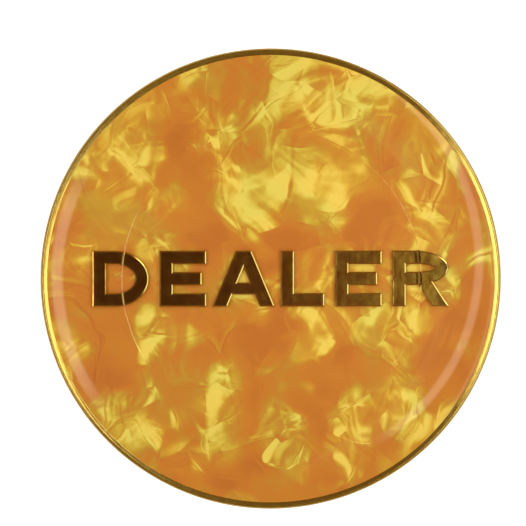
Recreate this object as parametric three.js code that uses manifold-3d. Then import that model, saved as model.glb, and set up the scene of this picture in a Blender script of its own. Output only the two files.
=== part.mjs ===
// A dealer button: a two-faced acrylic disc in a gold-plated metal ring. Each face is a clear domed
// cover over six metal letters and a pearl sheet, and a core disc fills the middle.
// Millimetres, +Z up. The origin is the centre of the underside, and the word on the upper face
// reads along +X with its tops towards +Y.
import * as THREE from "three";
import { mergeVertices } from "three/addons/utils/BufferGeometryUtils.js";
import Module from "manifold-3d";

const wasm = await Module();
wasm.setup();

// Whole button
const BUTTON_RADIUS = 38;
const BUTTON_THICKNESS = 20;
const FACETS = 60; // round every turned piece, so that neighbouring facets line up
const CURVE_STEPS = 3; // points along each curved stretch of a turned profile
const BOND_LINE = 0.05; // gap left between glued pieces

// Trim ring
const RING_WALL = 1.1;
const RING_HEIGHT = 17.2;
const RING_CROWN = 0.1; // how far the outer wall bulges at half height
const RING_EDGE = 0.3; // radius of the outer edges
const RING_LIP_FALL = 0.26; // how far the end faces fall towards the cover
const RING_PROUD = 0.12; // how far the ring's inner edge stands above the foot of the cover

// Layers, with heights counted from the button's middle plane
const FILL_RADIUS = BUTTON_RADIUS - RING_WALL - BOND_LINE;
const CORE_HALF = 3;
const FILM_THICKNESS = 0.15;
const SHEET_THICKNESS = 0.75;
const FILM_BASE = CORE_HALF + BOND_LINE;
const SHEET_BASE = FILM_BASE + FILM_THICKNESS + BOND_LINE;
const COVER_BASE = SHEET_BASE + SHEET_THICKNESS + BOND_LINE;

// Clear cover: a raised centre land, a flat field round it, and a shoulder that curves down to the ring
const COVER_TOP = BUTTON_THICKNESS / 2;
const LAND_RADIUS = 24;
const LAND_STEP = 0.3; // height and run of the rounded edge of the land
const FIELD_RADIUS = 28.2;
const SHOULDER_FOOT = RING_HEIGHT / 2 - RING_LIP_FALL - RING_PROUD;

// Letters: plain block capitals, all of one stroke weight
const LETTER_THICKNESS = 0.6;
const RECESS_CLEARANCE = 0.08; // between a letter and the cover moulded over it
const CAP_HEIGHT = 9;
const STROKE = 2;
const LETTER_GAPS = [2, 1.25, 1.25, 2, 2]; // from each letter to the next, closer beside the A
const BOWL_FLAT = 1.5; // straight run of a bowl before it curves
const STROKE_LAP = 0.5; // how far one stroke runs into the next, so that they join
const LETTER_CURVE_STEPS = 6;
const GROWN_RIM = 0.01; // height of the rim that carries a recess's grown outline

// The letters' own proportions
const D_WIDTH = 9;
const E_WIDTH = 7.5;
const E_MIDDLE_INSET = 0.75; // how much shorter the middle arm is
const A_WIDTH = 10;
const A_APEX = 2.5; // width of the flat top
const A_LIMB = 2.25; // a limb's width along the baseline
const A_BAR_HEIGHT = 2;
const A_BAR = 1.75;
const L_WIDTH = 7;
const R_WIDTH = 9;
const R_BOWL_BOTTOM = 3.5;
const R_LEG = 2.5; // the leg's width along the baseline
const R_LEG_START = 1; // from the stem to the top of the leg

const COLOURS = {
  gold: { color: 0xd9a93c, metalness: 1, roughness: 0.15 },
  clear: { color: 0xfff6e2, metalness: 0, roughness: 0.03, transparent: true, opacity: 0.3 },
  pearl: { color: 0xd08a2c, metalness: 0.3, roughness: 0.35 },
  film: { color: 0xf2eee2, metalness: 0, roughness: 0.4, transparent: true, opacity: 0.4 },
  core: { color: 0xe8dfc8, metalness: 0, roughness: 0.6 },
};

// One named piece. Every piece has a material of its own.
function piece(name, geometry, finish) {
  const mesh = new THREE.Mesh(geometry, new THREE.MeshStandardMaterial(COLOURS[finish]));
  mesh.name = name;
  return mesh;
}

// A solid turned about Z from a profile of (radius, height) points.
function turned(points) {
  return new THREE.LatheGeometry(points, FACETS).rotateX(Math.PI / 2);
}

// A flat disc between two heights.
function disc(radius, base, top) {
  const corners = [[0, base], [radius, base], [radius, top], [0, top]];
  return turned(corners.map(([r, z]) => new THREE.Vector2(r, z)));
}

// A geometry as a manifold-3d solid, and back again.
function solidOf(geometry) {
  const bare = geometry.clone();
  bare.deleteAttribute("normal");
  bare.deleteAttribute("uv");
  const merged = mergeVertices(bare, 1e-4);
  return new wasm.Manifold(
    new wasm.Mesh({
      numProp: 3,
      vertProperties: merged.attributes.position.array,
      triVerts: new Uint32Array(merged.index.array),
    }),
  );
}

function geometryOf(solid) {
  const mesh = solid.getMesh();
  const geometry = new THREE.BufferGeometry();
  geometry.setAttribute("position", new THREE.BufferAttribute(mesh.vertProperties, 3));
  geometry.setIndex(new THREE.BufferAttribute(mesh.triVerts, 1));
  geometry.computeVertexNormals();
  return geometry;
}

// ---- Trim ring ----

// A band with rounded outer edges, a slightly crowned outer wall, and end faces that curve down
// towards the cover.
function ringGeometry() {
  const inner = BUTTON_RADIUS - RING_WALL;
  const outer = BUTTON_RADIUS - RING_CROWN;
  const end = RING_HEIGHT / 2;
  const lip = end - RING_LIP_FALL;
  const wall = end - RING_EDGE;
  const crest = outer - RING_EDGE;
  const bend = (inner + crest) / 2;
  const quarter = Math.PI / 2;
  const path = new THREE.Path();
  path.moveTo(inner, lip);
  path.lineTo(inner, -lip);
  path.quadraticCurveTo(bend, -end, crest, -end);
  path.absarc(crest, -wall, RING_EDGE, -quarter, 0);
  path.quadraticCurveTo(BUTTON_RADIUS + RING_CROWN, 0, outer, wall);
  path.absarc(crest, wall, RING_EDGE, 0, quarter);
  path.quadraticCurveTo(bend, end, inner, lip);
  return turned(path.getPoints(CURVE_STEPS));
}

// ---- Clear cover ----

function coverGeometry() {
  const fieldHeight = COVER_TOP - LAND_STEP;
  const path = new THREE.Path();
  path.moveTo(0, COVER_BASE);
  path.lineTo(FILL_RADIUS, COVER_BASE);
  path.lineTo(FILL_RADIUS, SHOULDER_FOOT);
  path.quadraticCurveTo((FILL_RADIUS + FIELD_RADIUS) / 2, fieldHeight, FIELD_RADIUS, fieldHeight);
  path.lineTo(LAND_RADIUS + LAND_STEP, fieldHeight);
  path.absellipse(LAND_RADIUS, fieldHeight, LAND_STEP, LAND_STEP, 0, Math.PI / 2);
  path.lineTo(0, COVER_TOP);
  return turned(path.getPoints(CURVE_STEPS));
}

// ---- Letters ----
// Plain block capitals, each the union of a few strokes. Every stroke is an outline in the letter's
// own frame, with y = 0 on the baseline.

function outline(points) {
  return new THREE.Shape(points.map(([x, y]) => new THREE.Vector2(x, y)));
}

function block(left, bottom, right, top) {
  return outline([[left, bottom], [right, bottom], [right, top], [left, top]]);
}

// A full-height upright at the left of a letter.
function stem() {
  return block(0, 0, STROKE, CAP_HEIGHT);
}

// A level arm that starts inside the stem and ends at right.
function arm(right, bottom) {
  return block(STROKE - STROKE_LAP, bottom, right, bottom + STROKE);
}

// The outline of half an ellipse that bulges to the right of a straight back.
function halfRound(path, back, shoulder, right, bottom, top) {
  const middle = (bottom + top) / 2;
  const quarter = Math.PI / 2;
  path.moveTo(back, bottom);
  path.lineTo(shoulder, bottom);
  path.absellipse(shoulder, middle, right - shoulder, middle - bottom, -quarter, quarter);
  path.lineTo(back, top);
  return path;
}

// A bowl whose back lies inside the stem, from the given bottom to the cap line.
function bowl(right, bottom) {
  const back = STROKE - STROKE_LAP;
  const shoulder = STROKE + BOWL_FLAT;
  const shape = halfRound(new THREE.Shape(), back - STROKE_LAP, shoulder, right, bottom, CAP_HEIGHT);
  const counterTop = CAP_HEIGHT - STROKE;
  shape.holes.push(
    halfRound(new THREE.Path(), back, shoulder, right - STROKE, bottom + STROKE, counterTop),
  );
  return shape;
}

function letterD() {
  return { width: D_WIDTH, strokes: [stem(), bowl(D_WIDTH, 0)] };
}

function letterE() {
  const middle = (CAP_HEIGHT - STROKE) / 2;
  return {
    width: E_WIDTH,
    strokes: [
      stem(),
      arm(E_WIDTH, 0),
      arm(E_WIDTH - E_MIDDLE_INSET, middle),
      arm(E_WIDTH, CAP_HEIGHT - STROKE),
    ],
  };
}

function letterL() {
  return { width: L_WIDTH, strokes: [stem(), arm(L_WIDTH, 0)] };
}

// Two equal limbs that meet in a flat apex. Each limb's inner edge runs parallel to its outer edge.
function letterA() {
  const run = (A_WIDTH - A_APEX) / 2; // how far a limb leans over the cap height
  const crotch = (A_WIDTH - 2 * A_LIMB) / (2 * run);
  const barShare = A_BAR_HEIGHT / CAP_HEIGHT;
  const barLeft = A_LIMB + run * barShare - STROKE_LAP / 2;
  return {
    width: A_WIDTH,
    strokes: [
      outline([
        [0, 0],
        [A_LIMB, 0],
        [A_WIDTH / 2, crotch * CAP_HEIGHT],
        [A_WIDTH - A_LIMB, 0],
        [A_WIDTH, 0],
        [A_WIDTH - run, CAP_HEIGHT],
        [run, CAP_HEIGHT],
      ]),
      block(barLeft, A_BAR_HEIGHT, A_WIDTH - barLeft, A_BAR_HEIGHT + A_BAR),
    ],
  };
}

function letterR() {
  const legTop = STROKE + R_LEG_START;
  const legRise = R_BOWL_BOTTOM + STROKE;
  return {
    width: R_WIDTH,
    strokes: [
      stem(),
      bowl(R_WIDTH, R_BOWL_BOTTOM),
      outline([
        [R_WIDTH - R_LEG, 0],
        [R_WIDTH, 0],
        [legTop + R_LEG, legRise],
        [legTop, legRise],
      ]),
    ],
  };
}

// A letter's strokes joined into one solid, from z = 0 to the given height. grow moves every
// outline outwards.
function letterSolid(letter, height, grow) {
  const flat = { depth: height, bevelEnabled: false, curveSegments: LETTER_CURVE_STEPS };
  const grown = {
    depth: height - 2 * GROWN_RIM,
    curveSegments: LETTER_CURVE_STEPS,
    bevelThickness: GROWN_RIM,
    bevelSize: 0,
    bevelOffset: grow,
    bevelSegments: 1,
  };
  return letter.strokes
    .map((stroke) => new THREE.ExtrudeGeometry(stroke, grow > 0 ? grown : flat))
    .map((geometry) => solidOf(grow > 0 ? geometry.translate(0, 0, GROWN_RIM) : geometry))
    .reduce((joined, stroke) => joined.add(stroke));
}

const WORD = [
  ["d", letterD()],
  ["e", letterE()],
  ["a", letterA()],
  ["l", letterL()],
  ["e", letterE()],
  ["r", letterR()],
];

// Each letter's left edge, with the whole word centred on the face.
function wordStarts() {
  const steps = WORD.map(([, letter], i) => letter.width + (LETTER_GAPS[i] ?? 0));
  let left = -steps.reduce((sum, step) => sum + step) / 2;
  return steps.map((step) => {
    const start = left;
    left += step;
    return start;
  });
}

// ---- Assembly ----

// The cover with a recess for each letter in its underside.
function recessedCover(starts) {
  let cover = solidOf(coverGeometry());
  WORD.forEach(([, letter], i) => {
    const depth = BOND_LINE + LETTER_THICKNESS + RECESS_CLEARANCE;
    const tool = letterSolid(letter, depth, RECESS_CLEARANCE);
    cover = cover.subtract(tool.translate([starts[i], -CAP_HEIGHT / 2, COVER_BASE - BOND_LINE]));
  });
  return geometryOf(cover);
}

// The layers of one face, standing on the middle plane.
function face(side) {
  const group = new THREE.Group();
  const starts = wordStarts();
  group.add(
    piece(`${side}_bond_film`, disc(FILL_RADIUS, FILM_BASE, FILM_BASE + FILM_THICKNESS), "film"),
    piece(`${side}_pearl_sheet`, disc(FILL_RADIUS, SHEET_BASE, SHEET_BASE + SHEET_THICKNESS), "pearl"),
    piece(`${side}_lens`, recessedCover(starts), "clear"),
  );
  WORD.forEach(([key, letter], i) => {
    const geometry = geometryOf(letterSolid(letter, LETTER_THICKNESS, 0));
    const mesh = piece(`${side}_letter_${i + 1}_${key}`, geometry, "gold");
    mesh.position.set(starts[i], -CAP_HEIGHT / 2, COVER_BASE);
    group.add(mesh);
  });
  return group;
}

const button = new THREE.Group();
button.position.z = BUTTON_THICKNESS / 2;
button.add(piece("trim_ring", ringGeometry(), "gold"));
button.add(piece("core_disc", disc(FILL_RADIUS, -CORE_HALF, CORE_HALF), "core"));
button.add(face("top"));

const underside = face("bottom");
underside.rotation.y = Math.PI; // the button turns over left to right, so both faces read upright
button.add(underside);

export default button;
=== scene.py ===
"""A dealer button: the looks of the clear covers, the gilt letters, the pearl sheets and the trim ring.

Everything is in metres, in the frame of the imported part: +Z up, the underside on z = 0.
"""

import math

import bmesh
import bpy
from mathutils import Matrix, Vector
from mathutils.geometry import tessellate_polygon


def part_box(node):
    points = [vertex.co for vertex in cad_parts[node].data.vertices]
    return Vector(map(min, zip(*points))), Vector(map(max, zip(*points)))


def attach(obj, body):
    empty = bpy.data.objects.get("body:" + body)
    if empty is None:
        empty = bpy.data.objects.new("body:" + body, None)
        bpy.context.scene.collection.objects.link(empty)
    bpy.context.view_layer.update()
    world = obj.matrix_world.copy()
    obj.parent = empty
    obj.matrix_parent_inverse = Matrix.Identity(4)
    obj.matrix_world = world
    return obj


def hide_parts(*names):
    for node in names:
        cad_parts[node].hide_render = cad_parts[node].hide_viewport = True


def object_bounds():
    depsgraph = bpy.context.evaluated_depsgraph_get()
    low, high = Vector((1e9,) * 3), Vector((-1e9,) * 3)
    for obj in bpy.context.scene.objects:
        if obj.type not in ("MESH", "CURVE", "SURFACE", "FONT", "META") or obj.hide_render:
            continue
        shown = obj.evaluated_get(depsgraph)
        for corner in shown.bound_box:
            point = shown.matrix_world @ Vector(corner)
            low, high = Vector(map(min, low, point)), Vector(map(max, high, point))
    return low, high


MM = 0.001
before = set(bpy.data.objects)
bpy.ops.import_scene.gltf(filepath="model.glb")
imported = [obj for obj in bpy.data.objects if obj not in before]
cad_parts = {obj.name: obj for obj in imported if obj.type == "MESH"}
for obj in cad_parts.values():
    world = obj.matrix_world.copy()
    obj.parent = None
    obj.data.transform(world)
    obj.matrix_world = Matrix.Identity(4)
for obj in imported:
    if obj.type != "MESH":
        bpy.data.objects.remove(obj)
cad_low, cad_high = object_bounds()

# ---- Sizes, in metres. Outer sizes and heights come from the frame. ----

BODY = "root"
SIDES = {"top": 1, "bottom": -1}
STEPS = 288  # round every turned piece
MIDDLE = (cad_low.z + cad_high.z) / 2

RING_WALL = 1.1 * MM
RING_CROWN = 0.1 * MM
RING_EDGE = 0.5 * MM  # radius of the outer edges
RING_LIP_REACH = 0.1 * MM  # how far the rolled lip reaches in over the cover
RING_INNER_EDGE = 0.04 * MM
RING_LIP_FALL = 0.182 * MM  # the ring's end faces slope down towards the cover
RING_LIP_SHARE = 1.12  # the slope at the crest over the mean slope: above 1 the face is hollow
RING_PROUD = 0.03 * MM  # from the foot of the cover up to the ring's inner edge

LAND_RADIUS = 24.45 * MM
LAND_RUN = 0.24 * MM  # the step from the land down to the field is a narrow facet
LAND_STEP = 0.076 * MM
LAND_EASING = 0.03 * MM  # how far each of its edges is rounded
FIELD_RADIUS = 28.2 * MM
SHOULDER_STEPS = 40
WETTING = 0.1 * MM  # how far the cover's resin reaches past the sheet's face
COVER_EDGE = 0.1 * MM  # extra points this far from the cover's lower edge keep it crisp
SHEET_EDGE = 0.06 * MM  # chamfer round the pearl sheet
WALL_STEPS, ROUND_STEPS, END_STEPS, LIP_STEPS = 16, 12, 14, 4  # along half of the ring's section

BEVEL_RUN = 0.24 * MM
BEVEL_DROP = 0.09 * MM
SMOOTH_TURN = math.radians(26)  # outline corners sharper than this stay corners
STRAIGHT_TURN = math.radians(0.4)  # points that turn less than this are dropped
WELD = 0.002 * MM
MITRE_LIMIT = 0.6  # keeps a sharp corner's mitre short


# ---- Mesh helpers ----

def new_piece(name, mesh, material, slot, *nodes):
    """A shown piece that rides on the body and stands for the named CAD nodes."""
    obj = bpy.data.objects.new(name, mesh)
    bpy.context.scene.collection.objects.link(obj)
    obj.data.materials.append(material)
    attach(obj, BODY)
    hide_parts(*nodes)
    return obj


def arc(centre_r, centre_z, reach_r, reach_z, start, end, count):
    """Points along a stretch of an ellipse in the (radius, height) plane; angles in degrees."""
    turns = [math.radians(start + (end - start) * i / count) for i in range(count + 1)]
    return [(centre_r + reach_r * math.cos(t), centre_z + reach_z * math.sin(t)) for t in turns]


def turned(name, profile, closed=False):
    """A smooth-shaded solid turned about Z. An open profile starts and ends on the axis."""
    bm = bmesh.new()
    rings = []
    for r, z in profile:
        if r < 1e-9:
            rings.append([bm.verts.new((0, 0, z))])
            continue
        angles = [2 * math.pi * i / STEPS for i in range(STEPS)]
        rings.append([bm.verts.new((r * math.cos(a), r * math.sin(a), z)) for a in angles])
    pairs = list(zip(rings, rings[1:] + rings[:1] if closed else rings[1:]))
    for low, high in pairs:
        for i in range(STEPS):
            j = (i + 1) % STEPS
            corners = [low[i % len(low)], low[j % len(low)], high[j % len(high)], high[i % len(high)]]
            bm.faces.new(list(dict.fromkeys(corners)))
    bmesh.ops.recalc_face_normals(bm, faces=bm.faces)
    for face in bm.faces:
        face.smooth = True
    mesh = bpy.data.meshes.new(name)
    bm.to_mesh(mesh)
    bm.free()
    return mesh


# ---- Node helpers ----

class Graph:
    """The node tree of a material or world, with short ways to add the nodes used here."""

    def __init__(self, owner, output="ShaderNodeOutputMaterial"):
        owner.use_nodes = True
        self.tree = owner.node_tree
        self.tree.nodes.clear()
        self.output = self.add(output)

    def add(self, kind, inputs=None, **settings):
        node = self.tree.nodes.new(kind)
        for key, value in settings.items():
            setattr(node, key, value)
        for key, value in (inputs or {}).items():
            self.set(node.inputs[key], value)
        return node

    def set(self, socket, value):
        if isinstance(value, bpy.types.NodeSocket):
            self.tree.links.new(value, socket)
        else:
            socket.default_value = value

    def math(self, operation, a, b=0.0, c=0.0, clamp=False):
        node = self.add("ShaderNodeMath", {0: a, 1: b, 2: c}, operation=operation)
        node.use_clamp = clamp
        return node.outputs[0]

    def vector(self, operation, a, b=(0.0, 0.0, 0.0)):
        node = self.add("ShaderNodeVectorMath", {0: a, 1: b}, operation=operation)
        return node.outputs["Value" if operation in ("DOT_PRODUCT", "LENGTH") else "Vector"]

    def scaled(self, a, factor):
        return self.add("ShaderNodeVectorMath", {0: a, "Scale": factor}, operation="SCALE").outputs[0]

    def ramp(self, value, low, high):
        """0 below low, 1 above high, and smooth between."""
        node = self.add(
            "ShaderNodeMapRange",
            {"Value": value, "From Min": low, "From Max": high},
            interpolation_type="SMOOTHSTEP",
        )
        return node.outputs["Result"]

    def blend(self, factor, a, b):
        inputs = {"Factor": factor, "A": a, "B": b}
        return self.add("ShaderNodeMix", inputs, data_type="FLOAT").outputs["Result"]

    def mix_colour(self, factor, a, b):
        node = self.add("ShaderNodeMix", data_type="RGBA")
        for socket, value in zip((node.inputs[0], node.inputs[6], node.inputs[7]), (factor, a, b)):
            self.set(socket, value)
        return node.outputs[2]

    def noise(self, vector, scale, detail=2.0, roughness=0.5):
        return self.add(
            "ShaderNodeTexNoise",
            {"Vector": vector, "Scale": scale, "Detail": detail, "Roughness": roughness},
        )

    def colours(self, value, stops):
        node = self.add("ShaderNodeValToRGB", {"Fac": value})
        elements = node.color_ramp.elements
        while len(elements) < len(stops):
            elements.new(0.5)
        for element, (position, colour) in zip(elements, stops):
            element.position = position
            element.color = (*colour, 1.0)
        return node.outputs["Color"]

    def millimetres(self):
        """The piece's own coordinates, in millimetres."""
        return self.scaled(self.add("ShaderNodeTexCoord").outputs["Object"], 1000.0)

    def finish(self, shader):
        self.tree.links.new(shader, self.output.inputs["Surface"])


def linear(hex_colour):
    """A display colour such as "cf7b2a" as the linear colour that a shader takes."""
    parts = [int(hex_colour[i:i + 2], 16) / 255 for i in (0, 2, 4)]
    return tuple(p / 12.92 if p <= 0.04045 else ((p + 0.055) / 1.055) ** 2.4 for p in parts)


# ---- Materials ----

# Soft orange clouds that hide the folds: the noise values where they start and are full, and their depth.
VEIL_START, VEIL_FULL, VEIL_DEPTH = 0.49, 0.68, 0.88

ORANGE_CAST = (1.03, 0.98, 0.97, 1.0)  # what the tones are multiplied by where the sheet is orange
OLIVE_CAST = (0.93, 1.01, 1.06, 1.0)  # and where it is olive
PEARL_TONES = [
    (0.00, "c07126"),
    (0.12, "c77a28"),
    (0.34, "ca8227"),
    (0.52, "cc8f2b"),
    (0.68, "d2a030"),
    (0.84, "dfb840"),
    (1.00, "eed15a"),
]

# Each layer of satin folds: length and width of its cells in millimetres, their turn in degrees,
# the share of them that hold a fold, how softly they meet, and a seed.
FOLD_LAYERS = [
    (26.0, 18.0, 20, 1.00, 0.6, 3.1),
    (17.0, 11.0, 115, 0.80, 0.3, 17.7),
    (14.0, 9.0, 65, 0.75, 0.5, 29.3),
    (11.0, 6.5, 160, 0.45, 0.0, 41.9),
    (8.0, 4.5, 40, 0.48, 0.4, 57.3),
    (4.5, 2.2, 100, 0.32, 0.0, 71.1),
]

FOLD_HIDES = 0.75  # how fully a fold hides what lies below it
PEARL_BUMP = 0.35
CLOUD_SHIFT = (0.0, 70.0, 31.0)  # which stretch of the clouds shows, in millimetres
CALM_SHIFT = (25.0, 9.0, 0.0)  # and of the calmer and more crumpled parts
FOLD_MARGIN = (-0.06, 0.16)  # a fold fades in as the share that holds folds passes its own draw
SHEEN_STRIPES = 0.45  # painted sheen stripes per millimetre across a fold
# How far the painted sheen stripes lighten and darken a fold's tone.
SHEEN_STRIPE_CONTRAST = 0.68

# Each layer of sharp creases: the same figures, where the share is of the borders that show.
CREASE_LAYERS = [
    (22.0, 13.0, 75, 0.44, 83.9),
    (11.0, 6.0, 150, 0.38, 97.3),
]
# How bright the painted highlight on a crease's lip is, and how dark the painted shade line along it.
CREASE_HIGHLIGHT, CREASE_SHADE = 0.42, -0.14
WARPS = ((0.05, 7.0), (0.16, 1.6))  # the scale and reach, in millimetres, of the sheet's two warps


def cell_spot(g, place, length, width, turn, seed):
    """Turned and stretched coordinates in which one cell is about one unit across."""
    a = math.radians(turn)
    along = g.vector("DOT_PRODUCT", place, (math.cos(a) / length, math.sin(a) / length, 0.0))
    across = g.vector("DOT_PRODUCT", place, (-math.sin(a) / width, math.cos(a) / width, 0.0))
    return g.add(
        "ShaderNodeCombineXYZ",
        {"X": g.math("ADD", along, seed), "Y": g.math("ADD", across, seed)},
    ).outputs[0]


def fold_layer(g, place, crumple, length, width, turn, share, softness, seed):
    """One layer of satin folds: how far each hides what lies below, its tone with a painted sheen band and
    painted sheen stripes, and its height.
    """
    spot = cell_spot(g, place, length, width, turn, seed)
    cell = g.add("ShaderNodeTexVoronoi", {"Vector": spot, "Scale": 1.0}, voronoi_dimensions="2D")
    if softness:
        cell.feature = "SMOOTH_F1"
        cell.inputs["Smoothness"].default_value = softness
    local = g.vector("SUBTRACT", spot, cell.outputs["Position"])
    first = g.add("ShaderNodeSeparateColor", {"Color": cell.outputs["Color"]}).outputs
    extra = g.noise(cell.outputs["Position"], 1.7, detail=0.0)
    channels = g.add("ShaderNodeSeparateColor", {"Color": extra.outputs["Color"]}).outputs
    second = [g.ramp(channel, 0.28, 0.72) for channel in channels]
    lean = g.math("MULTIPLY", first[0], 2 * math.pi)
    lean_x, lean_y = g.math("COSINE", lean), g.math("SINE", lean)
    way = g.add("ShaderNodeCombineXYZ", {"X": lean_x, "Y": lean_y}).outputs[0]
    beside = g.add("ShaderNodeCombineXYZ", {"X": g.math("MULTIPLY", lean_y, -1.0), "Y": lean_x}).outputs[0]
    u = g.vector("DOT_PRODUCT", local, way)
    v = g.vector("DOT_PRODUCT", local, beside)
    curl = g.math("MULTIPLY_ADD", second[0], 1.4, -0.7)
    bent = g.math("MULTIPLY_ADD", g.math("MULTIPLY", v, v), curl, u)
    margin = g.math("SUBTRACT", g.math("MULTIPLY", crumple, share), first[1])
    present = g.ramp(margin, *FOLD_MARGIN)
    cover = g.math("MULTIPLY", present, g.ramp(bent, -0.40, 0.15))
    # A painted sheen band across each fold, lighter in most folds and darker in some; the bump height
    # follows the same band.
    crest = g.math("MULTIPLY_ADD", second[1], 0.6, -0.05)
    narrow = g.math("MULTIPLY_ADD", second[2], 4.0, 1.8)
    away = g.math("MULTIPLY", g.math("SUBTRACT", bent, crest), narrow)
    sheen_band = g.math("EXPONENT", g.math("MULTIPLY", g.math("MULTIPLY", away, away), -1.0))
    strength = g.math("MULTIPLY_ADD", first[2], 1.30, -0.30)
    tone = g.math("MULTIPLY_ADD", sheen_band, strength, g.math("MULTIPLY_ADD", second[0], 0.40, 0.16))
    # Painted sheen: light and dark stripes across the fold.
    strands = g.add(
        "ShaderNodeCombineXYZ",
        {"X": g.math("MULTIPLY", bent, SHEEN_STRIPES * length), "Y": g.math("ADD", v, seed), "Z": lean},
    )
    stripe_sheen = g.ramp(g.noise(strands.outputs[0], 1.0, detail=1.0).outputs["Fac"], 0.30, 0.70)
    tone = g.math("ADD", tone, g.math("MULTIPLY_ADD", stripe_sheen, SHEEN_STRIPE_CONTRAST, -SHEEN_STRIPE_CONTRAST / 2))
    height = g.math("MULTIPLY", sheen_band, length)
    return cover, tone, height


def crease_layer(g, place, length, width, turn, share, seed):
    """Thin sharp folds along the borders of some cells: a painted shade line in the crease with a painted
    highlight on one lip.
    """
    spot = cell_spot(g, place, length, width, turn, seed)
    cell = g.add("ShaderNodeTexVoronoi", {"Vector": spot, "Scale": 1.0}, voronoi_dimensions="2D")
    edge = g.add(
        "ShaderNodeTexVoronoi",
        {"Vector": spot, "Scale": 1.0},
        voronoi_dimensions="2D",
        feature="DISTANCE_TO_EDGE",
    )
    away = g.math("MULTIPLY", edge.outputs["Distance"], width)
    # A painted shade line along the crease, and a painted highlight on the lip beside it in some cells.
    dark = g.math("SUBTRACT", 1.0, g.ramp(away, 0.04, 0.24))
    lip = g.math("MULTIPLY", g.ramp(away, 0.06, 0.26), g.math("SUBTRACT", 1.0, g.ramp(away, 0.28, 1.1)))
    side = g.add("ShaderNodeSeparateColor", {"Color": cell.outputs["Color"]}).outputs[0]
    lit = g.math("MULTIPLY", lip, g.ramp(side, 0.45, 0.75))
    patch = g.noise(spot, 1.3, detail=1.0).outputs["Fac"]
    shown = g.ramp(patch, 1.0 - share, 1.12 - share)
    shadow = g.math("MULTIPLY", dark, CREASE_SHADE)
    return g.math("MULTIPLY", shown, g.math("MULTIPLY_ADD", lit, CREASE_HIGHLIGHT, shadow))


def pearl_material():
    material = bpy.data.materials.new("golden_pearl")
    g = Graph(material)
    place = g.millimetres()
    broad = g.noise(g.vector("ADD", place, CALM_SHIFT), 0.10, detail=1.5)
    for scale, reach in WARPS:
        warp = g.noise(place, scale, detail=2.0)
        centred = g.vector("SUBTRACT", warp.outputs["Color"], (0.5, 0.5, 0.5))
        place = g.vector("ADD", place, g.scaled(centred, reach))
    calm = g.ramp(broad.outputs["Fac"], 0.36, 0.60)
    crumple = g.math("MULTIPLY_ADD", calm, 0.75, 0.25)
    ground = g.noise(place, 0.09, detail=1.0)
    tone = g.math("MULTIPLY_ADD", g.ramp(ground.outputs["Fac"], 0.35, 0.65), 0.40, 0.08)
    height = g.math("MULTIPLY", tone, 0.0)
    for layer in FOLD_LAYERS:
        cover, fold_tone, fold_height = fold_layer(g, place, crumple, *layer)
        tone = g.blend(g.math("MULTIPLY", cover, FOLD_HIDES), tone, fold_tone)
        if layer[-2]:
            height = g.blend(cover, height, fold_height)
    clouds = g.noise(g.vector("ADD", place, CLOUD_SHIFT), 0.125, detail=2.0)
    veil = g.math("MULTIPLY", g.ramp(clouds.outputs["Fac"], VEIL_START, VEIL_FULL), VEIL_DEPTH)
    tone = g.blend(veil, tone, g.math("MULTIPLY_ADD", g.ramp(ground.outputs["Fac"], 0.3, 0.7), 0.24, 0.09))
    satin = g.noise(place, 0.8, detail=3.0, roughness=0.6)
    tone = g.math("ADD", tone, g.math("MULTIPLY_ADD", satin.outputs["Fac"], 0.22, -0.11))
    tone = g.math("ADD", tone, g.math("MULTIPLY_ADD", calm, 0.42, -0.15))
    # Painted shade lines and painted highlights along sharp creases.
    for layer in CREASE_LAYERS:
        tone = g.math("ADD", tone, crease_layer(g, place, *layer))
    tone = g.math("SMOOTH_MAX", g.math("SMOOTH_MIN", tone, 1.02, 0.45), -0.02, 0.25)
    colour = g.colours(tone, [(p, linear(c)) for p, c in PEARL_TONES])
    olive = g.ramp(g.noise(place, 0.11, detail=1.5).outputs["Fac"], 0.38, 0.60)
    olive = g.math("MULTIPLY", olive, g.ramp(tone, 0.15, 0.5))
    colour = g.vector("MULTIPLY", colour, g.mix_colour(olive, ORANGE_CAST, OLIVE_CAST))
    bump = g.add("ShaderNodeBump", {"Height": height, "Strength": PEARL_BUMP, "Distance": 0.02 * MM})
    shader = g.add(
        "ShaderNodeBsdfPrincipled",
        {
            "Base Color": colour,
            "Metallic": 0.15,
            "Roughness": g.math("MULTIPLY_ADD", satin.outputs["Fac"], 0.2, 0.30),
            "Specular IOR Level": 0.3,
            "Normal": bump.outputs[0],
        },
    )
    g.finish(shader.outputs[0])
    return material


def ring_material():
    material = bpy.data.materials.new("plated_gold_ring")
    g = Graph(material)
    place = g.millimetres()
    parts = g.add("ShaderNodeSeparateXYZ", {"Vector": place})
    round_about = g.math("ARCTAN2", parts.outputs[1], parts.outputs[0])
    strip = g.add(
        "ShaderNodeCombineXYZ",
        {"X": g.math("MULTIPLY", round_about, 6.0), "Y": g.math("MULTIPLY", parts.outputs[2], 14.0)},
    )
    scratch = g.noise(strip.outputs[0], 2.0, detail=4.0, roughness=0.7)
    swell = g.noise(place, 0.22, detail=2.0)
    wear = g.noise(place, 0.9, detail=5.0, roughness=0.65)
    height = g.math("ADD", swell.outputs["Fac"], g.math("MULTIPLY", scratch.outputs["Fac"], 0.005))
    bump = g.add("ShaderNodeBump", {"Height": height, "Strength": 0.5, "Distance": 0.12 * MM})
    gold = g.colours(wear.outputs["Fac"], [(0.3, (0.84, 0.56, 0.13)), (0.7, (0.93, 0.68, 0.22))])
    shader = g.add(
        "ShaderNodeBsdfPrincipled",
        {
            "Base Color": gold,
            "Metallic": 1.0,
            "Roughness": g.math("MULTIPLY_ADD", wear.outputs["Fac"], 0.14, 0.13),
            "Normal": bump.outputs[0],
        },
    )
    g.finish(shader.outputs[0])
    return material


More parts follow.
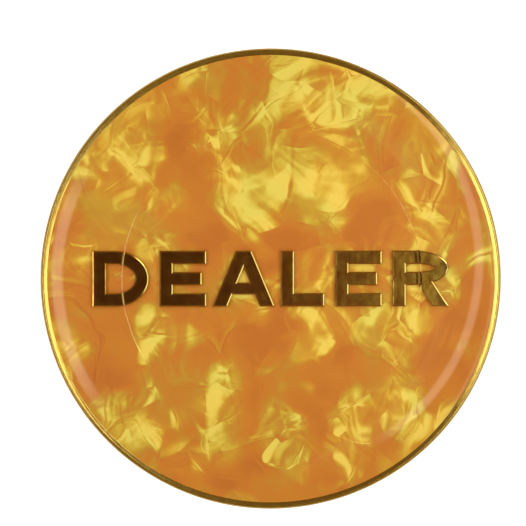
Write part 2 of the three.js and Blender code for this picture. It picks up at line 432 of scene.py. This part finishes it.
def letter_material():
    material = bpy.data.materials.new("gilt_letters")
    g = Graph(material)
    place = g.millimetres()
    ripple = g.noise(place, 0.35, detail=2.0)
    tarnish = g.noise(place, 0.6, detail=3.0)
    bump = g.add(
        "ShaderNodeBump",
        {"Height": ripple.outputs["Fac"], "Strength": 0.3, "Distance": 0.05 * MM},
    )
    gold = g.colours(tarnish.outputs["Fac"], [(0.3, (0.80, 0.45, 0.12)), (0.7, (0.88, 0.60, 0.20))])
    shader = g.add(
        "ShaderNodeBsdfPrincipled",
        {
            "Base Color": gold,
            "Metallic": 1.0,
            "Roughness": g.math("MULTIPLY_ADD", tarnish.outputs["Fac"], 0.08, 0.04),
            "Normal": bump.outputs[0],
        },
    )
    g.finish(shader.outputs[0])
    return material


def acrylic_material():
    """Clear acrylic. Shadow and diffuse rays pass straight through, so what lies below is lit evenly."""
    material = bpy.data.materials.new("clear_acrylic")
    g = Graph(material)
    place = g.millimetres()
    wipe = g.noise(place, 0.8, detail=6.0, roughness=0.7)
    glass = g.add(
        "ShaderNodeBsdfPrincipled",
        {
            "Base Color": (1.0, 0.985, 0.95, 1.0),
            "Roughness": g.math("MULTIPLY_ADD", wipe.outputs["Fac"], 0.03, 0.0),
            "IOR": 1.49,
            "Transmission Weight": 1.0,
        },
    )
    through = g.add("ShaderNodeBsdfTransparent", {"Color": (0.98, 0.97, 0.94, 1.0)})
    path = g.add("ShaderNodeLightPath")
    passes = g.math("MAXIMUM", path.outputs["Is Shadow Ray"], path.outputs["Is Diffuse Ray"])
    mixed = g.add("ShaderNodeMixShader", {0: passes, 1: glass.outputs[0], 2: through.outputs[0]})
    g.finish(mixed.outputs[0])
    return material


def plastic_material(name, colour, roughness):
    """Moulded plastic with a fine speckle, for the pieces inside the button."""
    material = bpy.data.materials.new(name)
    g = Graph(material)
    grain = g.noise(g.millimetres(), 1.5, detail=4.0)
    dark = tuple(0.88 * c for c in colour)
    bump = g.add(
        "ShaderNodeBump",
        {"Height": grain.outputs["Fac"], "Strength": 0.2, "Distance": 0.05 * MM},
    )
    shader = g.add(
        "ShaderNodeBsdfPrincipled",
        {
            "Base Color": g.colours(grain.outputs["Fac"], [(0.35, dark), (0.65, colour)]),
            "Roughness": roughness,
            "Normal": bump.outputs[0],
        },
    )
    g.finish(shader.outputs[0])
    return material


# ---- Trim ring ----

def ring_half(inner, outer, end):
    """The ring's section from mid-height up to its inner edge, counted from the middle plane."""
    points = []
    straight = end - RING_EDGE
    for i in range(WALL_STEPS):
        t = i / WALL_STEPS
        points.append((outer + RING_CROWN * (1 - t * t), straight * t))
    crest = outer - RING_EDGE
    points += arc(crest, straight, RING_EDGE, RING_EDGE, 0, 90, ROUND_STEPS)
    reach = crest - inner - RING_INNER_EDGE
    for i in range(1, END_STEPS):
        t = i / END_STEPS
        fall = RING_LIP_SHARE * t + (1 - RING_LIP_SHARE) * t * t
        points.append((crest - reach * t, end - RING_LIP_FALL * fall))
    lip = end - RING_LIP_FALL - RING_INNER_EDGE
    points += arc(inner + RING_INNER_EDGE, lip, RING_INNER_EDGE, RING_INNER_EDGE, 120, 180, LIP_STEPS)
    return points


def make_ring(material):
    low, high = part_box("trim_ring")
    inner, outer = high.x - RING_WALL - RING_LIP_REACH, high.x - RING_CROWN
    upper = ring_half(inner, outer, high.z - MIDDLE)
    lower = [(r, -z) for r, z in reversed(upper[1:])]
    profile = [(r, MIDDLE + z) for r, z in upper + lower]
    mesh = turned("gold_trim_ring", profile, closed=True)
    ring = new_piece("gold_trim_ring", mesh, material, "ring_gold", "trim_ring")
    ring.visible_shadow = ring.visible_diffuse = False  # it would shade the sheet's edge


# ---- Clear covers ----

def make_cover(side, sign, material):
    low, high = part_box(f"{side}_lens")
    radius = high.x
    top = abs((high if sign > 0 else low).z - MIDDLE)
    base = abs((low if sign > 0 else high).z - MIDDLE) - WETTING
    ring_low, ring_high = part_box("trim_ring")
    foot = (ring_high.z - ring_low.z) / 2 - RING_LIP_FALL - RING_PROUD
    field = top - LAND_STEP
    profile = [(0.0, base), (radius - COVER_EDGE, base), (radius, base), (radius, base + COVER_EDGE)]
    shoulder = [i / SHOULDER_STEPS for i in range(SHOULDER_STEPS, -1, -1)]
    run = radius - FIELD_RADIUS
    profile += [(FIELD_RADIUS + run * t, field - (field - foot) * t * t) for t in shoulder]
    facet_foot = LAND_RADIUS + LAND_RUN
    profile += [(facet_foot + 2 * LAND_EASING, field), (facet_foot + LAND_EASING, field)]
    for share in (1, 2, 3):
        rise = share * LAND_EASING * LAND_STEP / LAND_RUN
        profile.append((facet_foot - share * LAND_EASING, field + rise))
    for share in (3, 2, 1):
        rise = share * LAND_EASING * LAND_STEP / LAND_RUN
        profile.append((LAND_RADIUS + share * LAND_EASING, top - rise))
    profile += [(LAND_RADIUS - LAND_EASING, top), (LAND_RADIUS - 2 * LAND_EASING, top), (0.0, top)]
    profile = [(r, MIDDLE + sign * z) for r, z in profile]
    name = f"{side}_cover"
    new_piece(name, turned(name, profile), material, "clear_acrylic", f"{side}_lens")


# ---- Pearl sheets ----

def make_sheet(side, material):
    low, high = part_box(f"{side}_pearl_sheet")
    radius, edge = high.x, SHEET_EDGE
    profile = [
        (0.0, low.z), (radius - edge, low.z), (radius, low.z + edge),
        (radius, high.z - edge), (radius - edge, high.z), (0.0, high.z),
    ]
    name = f"{side}_pearl"
    new_piece(name, turned(name, profile), material, "pearl_sheet", f"{side}_pearl_sheet")


# ---- Letters ----

def face_outlines(node, sign):
    """The outlines of a letter's outer face, each a list of 2-D points in walking order."""
    bm = bmesh.new()
    bm.from_mesh(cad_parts[node].data)
    bmesh.ops.remove_doubles(bm, verts=bm.verts, dist=WELD)
    bm.normal_update()
    following = {}
    for face in bm.faces:
        if face.normal.z * sign < 0.9:
            continue
        for loop in face.loops:
            other = [f for f in loop.edge.link_faces if f is not face]
            if other and abs(other[0].normal.z) < 0.5:
                following[loop.vert] = loop.link_loop_next.vert
    outlines = []
    while following:
        start, vert = following.popitem()
        points = [start.co.xy.copy()]
        while vert is not start:
            points.append(vert.co.xy.copy())
            vert = following.pop(vert)
        outlines.append(points)
    bm.free()
    return outlines


def turns_of(points):
    """The signed turn at each point of a closed outline."""
    count = len(points)
    steps = [points[(i + 1) % count] - points[i] for i in range(count)]
    return [steps[i - 1].angle_signed(steps[i], 0.0) * -1 for i in range(count)]


def without_straight_points(points):
    turns = turns_of(points)
    return [p for p, turn in zip(points, turns) if abs(turn) > STRAIGHT_TURN]


def rounded(points):
    """The same outline with a point added on the arc of each gently turning stretch."""
    turns = turns_of(points)
    finer = []
    for i, point in enumerate(points):
        j = (i + 1) % len(points)
        finer.append(point)
        if max(abs(turns[i]), abs(turns[j])) < SMOOTH_TURN and turns[i] * turns[j] > 0:
            step = points[j] - point
            left = Vector((-step.y, step.x))
            bulge = math.tan((turns[i] + turns[j]) / 8) / 2
            finer.append(point + step / 2 - left * bulge)
    return finer


def moved_out(points, distance):
    """The outline moved to its right by a distance, with mitred corners."""
    count = len(points)
    moved = []
    for i, point in enumerate(points):
        before = (point - points[i - 1]).normalized()
        after = (points[(i + 1) % count] - point).normalized()
        right = Vector((before.y + after.y, -before.x - after.x))
        mitre = 2 * distance / max(right.length_squared, MITRE_LIMIT)
        moved.append(point + right * mitre)
    return moved


def make_letter(side, sign, node, material):
    low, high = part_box(node)
    face, back = (high.z, low.z) if sign > 0 else (low.z, high.z)
    outlines = [rounded(rounded(without_straight_points(p))) for p in face_outlines(node, sign)]
    half = BEVEL_RUN / 2 * sign
    levels = [
        (-half, face),
        (0.5 * half, face - sign * 0.5 * BEVEL_DROP),
        (half, face - sign * BEVEL_DROP),
        (half, back),
    ]
    bm = bmesh.new()
    loops = [
        [[bm.verts.new((*p, z)) for p in moved_out(points, offset)] for offset, z in levels]
        for points in outlines
    ]
    for rings in loops:
        for upper, lower in zip(rings, rings[1:]):
            for i in range(len(upper)):
                j = (i + 1) % len(upper)
                bm.faces.new([upper[i], lower[i], lower[j], upper[j]])
    for level in (0, -1):
        verts = [v for rings in loops for v in rings[level]]
        corners = [[v.co for v in rings[level]] for rings in loops]
        for triangle in tessellate_polygon(corners):
            bm.faces.new([verts[i] for i in triangle])
    bmesh.ops.recalc_face_normals(bm, faces=bm.faces)
    name = node.replace("letter", "gilt")
    mesh = bpy.data.meshes.new(name)
    bm.to_mesh(mesh)
    bm.free()
    new_piece(name, mesh, material, "letter_gold", node)


# ---- Studio ----

FLOOR_RADIUS = 4.0
FLOOR_FADE = (0.04, 0.15)  # mirrors see the floor dark up to the first radius and pale past the second
FLOOR_NEAR, FLOOR_FAR = (0.22, 0.15, 0.08, 1.0), (0.85, 0.78, 0.64, 1.0)
FLOOR_GLOW = 0.35
SOFTBOX_DISTANCE = 0.95
# Each softbox: its azimuth and elevation in degrees, width and height in metres, and radiance.
SOFTBOXES = {"right_softbox": (12, 55, 1.1, 0.23, 3.6), "left_softbox": (172, 55, 0.8, 0.3, 2.4)}
AMBIENT = 0.80  # even light on matt surfaces
BACKDROP = 0.95  # what the camera sees past the floor
OVERHEAD_TONES = [  # what mirrors see above, by how far the direction leans to the right
    (0.500, (0.056, 0.025, 0.010)),
    (0.518, (0.065, 0.030, 0.012)),
    (0.526, (0.125, 0.048, 0.022)),
    (0.536, (0.150, 0.090, 0.035)),
    (0.543, (0.150, 0.100, 0.033)),
    (0.546, (0.360, 0.330, 0.120)),
    (0.550, (0.660, 0.660, 0.270)),
    (0.620, (0.150, 0.110, 0.060)),
]
SKY_TONES = [  # what mirrors see further down, by the height of the direction
    (0.00, (0.40, 0.36, 0.26)),
    (0.08, (0.26, 0.20, 0.12)),
    (0.30, (0.25, 0.18, 0.08)),
    (0.65, (0.18, 0.12, 0.05)),
    (0.90, (0.14, 0.09, 0.035)),
]
# Each soft light panel that mirrors see: its azimuth, its half width and the elevation of its middle,
# in degrees, how much that elevation falls per degree of azimuth, its half height, and its colour.
PANELS = [
    (2, 52, 56.0, 0.20, 3.2, (2.9, 2.75, 2.05)),
    (2, 38, 40.0, 0.00, 7.0, (1.20, 1.60, 1.35)),
    (187, 31, 57.0, 0.00, 4.0, (3.4, 3.25, 2.5)),
]
PANEL_SOFT_SIDE = 9.0  # degrees over which a panel fades out sideways
PANEL_SOFT_END = 1.6  # and up and down


def make_floor():
    bm = bmesh.new()
    bmesh.ops.create_circle(bm, cap_ends=True, segments=96, radius=FLOOR_RADIUS)
    mesh = bpy.data.meshes.new("floor")
    bm.to_mesh(mesh)
    bm.free()
    floor = bpy.data.objects.new("floor", mesh)
    bpy.context.scene.collection.objects.link(floor)
    floor.location.z = cad_low.z
    material = bpy.data.materials.new("pale_floor")
    g = Graph(material)
    grain = g.noise(g.add("ShaderNodeTexCoord").outputs["Object"], 60.0, detail=4.0)
    white = g.colours(grain.outputs["Fac"], [(0.3, (0.90, 0.90, 0.90)), (0.7, (0.95, 0.95, 0.95))])
    shader = g.add(
        "ShaderNodeBsdfPrincipled",
        {
            "Base Color": white,
            "Roughness": 0.9,
            "Emission Color": (1, 1, 1, 1),
            "Emission Strength": FLOOR_GLOW,
        },
    )
    far = g.vector("LENGTH", g.add("ShaderNodeTexCoord").outputs["Object"])
    shade = g.mix_colour(g.ramp(far, *FLOOR_FADE), FLOOR_NEAR, FLOOR_FAR)
    flag = g.add("ShaderNodeBsdfDiffuse", {"Color": shade})
    glossy = g.add("ShaderNodeLightPath").outputs["Is Glossy Ray"]
    g.finish(g.add("ShaderNodeMixShader", {0: glossy, 1: shader.outputs[0], 2: flag.outputs[0]}).outputs[0])
    mesh.materials.append(material)


def softbox(name, azimuth, elevation, width, height, radiance):
    """A rectangular light for matt surfaces, aimed at the button; mirrors see the panels instead."""
    turn, rise = math.radians(azimuth), math.radians(elevation)
    way = Vector((math.cos(turn) * math.cos(rise), math.sin(turn) * math.cos(rise), math.sin(rise)))
    lamp = bpy.data.lights.new(name, "AREA")
    lamp.shape = "RECTANGLE"
    lamp.size, lamp.size_y = width, height
    lamp.energy = radiance * math.pi * width * height
    box = bpy.data.objects.new(name, lamp)
    bpy.context.scene.collection.objects.link(box)
    box.location = way * SOFTBOX_DISTANCE
    box.rotation_mode = "QUATERNION"
    box.rotation_quaternion = way.to_track_quat("Z", "Y")
    box.visible_glossy = False
    box.visible_transmission = False


def panel(g, way, azimuth, half_width, elevation, fall, half_height, colour):
    """The light of one soft panel in a direction."""
    turn = math.radians(azimuth)
    ahead = g.vector("DOT_PRODUCT", way, (math.cos(turn), math.sin(turn), 0.0))
    beside = g.vector("DOT_PRODUCT", way, (-math.sin(turn), math.cos(turn), 0.0))
    swing = g.math("DEGREES", g.math("ARCTAN2", beside, ahead))
    rise = g.math("DEGREES", g.math("ARCSINE", g.vector("DOT_PRODUCT", way, (0.0, 0.0, 1.0))))
    off_middle = g.math("SUBTRACT", g.math("MULTIPLY_ADD", swing, fall, rise), elevation)
    off_end, off_side = g.math("ABSOLUTE", off_middle), g.math("ABSOLUTE", swing)
    tall = g.ramp(off_end, half_height + PANEL_SOFT_END, half_height - PANEL_SOFT_END)
    wide = g.ramp(off_side, half_width + PANEL_SOFT_SIDE, half_width - PANEL_SOFT_SIDE)
    return g.scaled(colour, g.math("MULTIPLY", tall, wide))


def make_world():
    """Even light for matt surfaces, a pale backdrop, and a dim ceiling with panels for mirrors."""
    world = bpy.data.worlds.new("studio")
    bpy.context.scene.world = world
    g = Graph(world, "ShaderNodeOutputWorld")
    way = g.add("ShaderNodeTexCoord").outputs["Generated"]
    parts = g.add("ShaderNodeSeparateXYZ", {"Vector": way})
    sideways = g.math("MULTIPLY_ADD", parts.outputs[0], 0.5, 0.5)
    overhead = g.colours(sideways, OVERHEAD_TONES)
    walls = g.colours(parts.outputs[2], SKY_TONES)
    seen = g.mix_colour(g.ramp(parts.outputs[2], 0.90, 0.97), walls, overhead)
    for settings in PANELS:
        seen = g.vector("ADD", seen, panel(g, way, *settings))
    path = g.add("ShaderNodeLightPath")
    light = g.mix_colour(path.outputs["Is Diffuse Ray"], seen, (AMBIENT, AMBIENT, AMBIENT, 1.0))
    light = g.mix_colour(path.outputs["Is Camera Ray"], light, (BACKDROP, BACKDROP, BACKDROP, 1.0))
    g.finish(g.add("ShaderNodeBackground", {"Color": light}).outputs[0])


CAMERA_LEAN, CAMERA_TOWARDS = math.radians(2.9), math.radians(143)
CAMERA_DISTANCE = 0.60
CAMERA_LENS = 246.25
CAMERA_AIM = Vector((-1.04 * MM, 2.39 * MM, MIDDLE))
CAMERA_REACH = 20.0


def make_camera():
    """Looks down on the face, leaning a little to the upper left."""
    flat = math.sin(CAMERA_LEAN)
    height = math.cos(CAMERA_LEAN)
    way = Vector((flat * math.cos(CAMERA_TOWARDS), flat * math.sin(CAMERA_TOWARDS), height))
    camera = bpy.data.cameras.new("camera")
    camera.lens = CAMERA_LENS
    camera.clip_end = CAMERA_REACH
    holder = bpy.data.objects.new("camera", camera)
    bpy.context.scene.collection.objects.link(holder)
    side = Vector((0, 1, 0)).cross(way).normalized()
    up = way.cross(side)
    holder.matrix_world = Matrix((side, up, way)).transposed().to_4x4()
    holder.location = CAMERA_AIM + way * CAMERA_DISTANCE
    bpy.context.scene.camera = holder


make_camera()
make_world()
make_floor()
for name, settings in SOFTBOXES.items():
    softbox(name, *settings)
bpy.context.scene.view_settings.view_transform = "Standard"

ring_gold, letter_gold = ring_material(), letter_material()
acrylic, pearl = acrylic_material(), pearl_material()
make_ring(ring_gold)
for side, sign in SIDES.items():
    make_cover(side, sign, acrylic)
    make_sheet(side, pearl)
    for node in sorted(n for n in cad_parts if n.startswith(f"{side}_letter_")):
        make_letter(side, sign, node, letter_gold)

inside = {
    "core_disc": plastic_material("core_plastic", (0.80, 0.74, 0.60), 0.55),
    "top_bond_film": plastic_material("upper_film", (0.85, 0.83, 0.76), 0.3),
    "bottom_bond_film": plastic_material("lower_film", (0.85, 0.83, 0.76), 0.3),
}
for node, material in inside.items():
    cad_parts[node].material_slots[0].material = material
